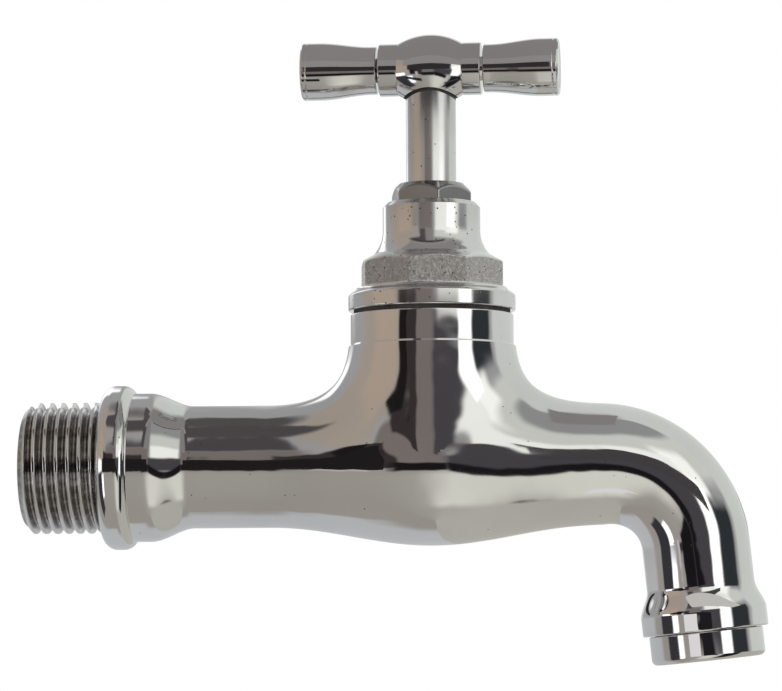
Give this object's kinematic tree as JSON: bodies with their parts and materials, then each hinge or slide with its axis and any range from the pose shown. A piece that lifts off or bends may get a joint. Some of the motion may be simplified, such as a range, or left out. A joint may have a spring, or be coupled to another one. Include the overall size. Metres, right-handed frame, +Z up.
{
  "type": "wall bib tap",
  "caption": "Chrome wall bib tap for a utility sink: threaded inlet, swan-necked spout with aerator, octagon bonnet, and a T-bar handle that screws the valve off its seat.",
  "frame": {"origin": "on the inlet axis, at the wall face of the collar", "axes": "+X along the inlet axis from the wall to the spout, +Z up along the spindle, the picture's camera at -Y"},
  "size_m": [0.1179, 0.0266, 0.1011],
  "materials": {
    "chrome_casting": "polished chrome plate on cast brass",
    "chrome_bonnet": "chrome plate, polished with rough flats",
    "chrome_turned": "polished chrome plate on turned brass",
    "bare_brass": "turned, unplated",
    "rubber": "matt black",
    "fibre": "pressed fibre, dark",
    "packing": "greased cord",
    "white_plastic": "moulded",
    "steel": "plain stainless"
  },
  "bodies": {
    "tap_body": {"body_casting": "chrome_casting", "bonnet": "chrome_bonnet", "bonnet_gasket": "fibre", "gland_nut": "chrome_turned", "gland_ring": "bare_brass", "packing_lower": "packing", "packing_upper": "packing", "outlet_ring": "chrome_turned", "aerator_gasket": "rubber", "aerator_insert": "white_plastic", "aerator_screen": "steel"},
    "jumper_set": {"jumper_valve": "bare_brass", "seat_washer": "rubber", "washer_plate": "bare_brass", "washer_nut": "bare_brass"},
    "spindle_set": {"spindle": "chrome_turned", "handle_hub": "chrome_turned", "handle_arm_left": "chrome_turned", "handle_arm_right": "chrome_turned", "handle_set_screw": "steel"}
  },
  "joints": [
    {"name": "valve_lift", "type": "slide", "parent": "tap_body", "child": "jumper_set", "axis": [0, 0, 1], "range_m": [0, 0.00563]},
    {"name": "handle_turn", "type": "hinge", "parent": "jumper_set", "child": "spindle_set", "pos_m": [0.0525, 0, 0.0636], "axis": [0, 0, 1], "range_deg": [0, 810]}
  ],
  "couplings": [
    {"joint": "valve_lift", "follows": "handle_turn", "m_per_rad": 0.00039789}
  ]
}
